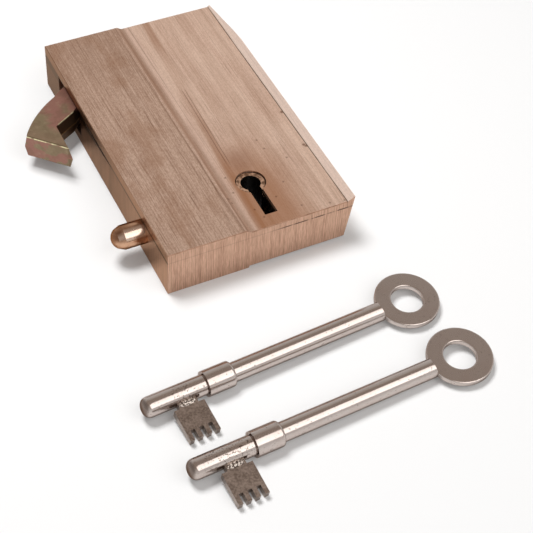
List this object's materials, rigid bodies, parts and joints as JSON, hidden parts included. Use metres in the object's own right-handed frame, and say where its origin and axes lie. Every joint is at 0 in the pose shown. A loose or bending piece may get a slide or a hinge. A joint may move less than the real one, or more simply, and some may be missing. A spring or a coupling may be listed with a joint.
{
  "type": "gate lock",
  "caption": "Flat rectangular brass lock case with a swinging steel hook bolt, a domed locating pin and a keyhole, with matching long-shanked pin keys lying beside it.",
  "frame": {"origin": "centre of the forend, the flat face that the hook leaves by", "axes": "+X into the depth of the lock, +Y along the case towards the hook, +Z out through the cover"},
  "size_m": [0.1245, 0.2223, 0.021],
  "materials": {
    "case_brass": "cast and linished",
    "cover_brass": "brushed along its length",
    "pin_brass": "turned",
    "curtain_brass": "turned",
    "inner_brass": "blanked",
    "hook_steel": "forged, zinc plated and yellow passivated",
    "inner_steel": "machined",
    "spring_steel": "blued",
    "screw_steel": "zinc plated",
    "key_nickel": "nickel plated, worn"
  },
  "bodies": {
    "lock_case": {"case_body": "case_brass", "cover_plate": "cover_brass", "cover_screws": "screw_steel", "locating_pin": "pin_brass", "hook_pivot_post": "inner_steel", "hook_washer": "inner_brass", "lever_post": "inner_steel", "lever_spacer": "inner_brass"},
    "hook": {"hook_bolt": "hook_steel"},
    "bolt": {"drive_bolt": "inner_steel", "drive_pin": "inner_steel", "bolt_stump": "inner_steel"},
    "lever_1": {"lever_1": "inner_brass", "lever_spring_1": "spring_steel"},
    "lever_2": {"lever_2": "inner_brass", "lever_spring_2": "spring_steel"},
    "lever_3": {"lever_3": "inner_brass", "lever_spring_3": "spring_steel"},
    "lever_4": {"lever_4": "inner_brass", "lever_spring_4": "spring_steel"},
    "lever_5": {"lever_5": "inner_brass", "lever_spring_5": "spring_steel"},
    "curtain": {"key_curtain": "curtain_brass"},
    "key_1": {"key_1_shank": "key_nickel", "key_1_bow": "key_nickel", "key_1_bit": "key_nickel"},
    "key_2": {"key_2_shank": "key_nickel", "key_2_bow": "key_nickel", "key_2_bit": "key_nickel"}
  },
  "joints": [
    {"name": "hook_swing", "type": "hinge", "parent": "lock_case", "child": "hook", "pos_m": [0.0295, -0.00375, 0], "axis": [0, 0, -1], "range_deg": [0, 36]},
    {"name": "bolt_slide", "type": "slide", "parent": "lock_case", "child": "bolt", "axis": [1, 0, 0], "range_m": [0, 0.013]},
    {"name": "lever_1_lift", "type": "hinge", "parent": "lock_case", "child": "lever_1", "pos_m": [0.0645, -0.01675, 0], "axis": [0, 0, -1], "range_deg": [-5, 2], "stiffness_Nm_per_rad": 0.01},
    {"name": "lever_2_lift", "type": "hinge", "parent": "lock_case", "child": "lever_2", "pos_m": [0.0645, -0.01675, 0], "axis": [0, 0, -1], "range_deg": [-5, 2], "stiffness_Nm_per_rad": 0.01},
    {"name": "lever_3_lift", "type": "hinge", "parent": "lock_case", "child": "lever_3", "pos_m": [0.0645, -0.01675, 0], "axis": [0, 0, -1], "range_deg": [-5, 2], "stiffness_Nm_per_rad": 0.01},
    {"name": "lever_4_lift", "type": "hinge", "parent": "lock_case", "child": "lever_4", "pos_m": [0.0645, -0.01675, 0], "axis": [0, 0, -1], "range_deg": [-5, 2], "stiffness_Nm_per_rad": 0.01},
    {"name": "lever_5_lift", "type": "hinge", "parent": "lock_case", "child": "lever_5", "pos_m": [0.0645, -0.01675, 0], "axis": [0, 0, -1], "range_deg": [-5, 2], "stiffness_Nm_per_rad": 0.01},
    {"name": "curtain_turn", "type": "hinge", "parent": "lock_case", "child": "curtain", "pos_m": [0.0442, -0.03965, 0], "axis": [0, 0, 1], "continuous": true},
    {"name": "key_1_lift", "type": "slide", "parent": "lock_case", "child": "key_1", "axis": [0, 0, 1], "range_m": [0, 0.06]},
    {"name": "key_2_lift", "type": "slide", "parent": "lock_case", "child": "key_2", "axis": [0, 0, 1], "range_m": [0, 0.06]}
  ],
  "couplings": [
    {"joint": "bolt_slide", "follows": "hook_swing", "m_per_rad": 0.020685}
  ]
}
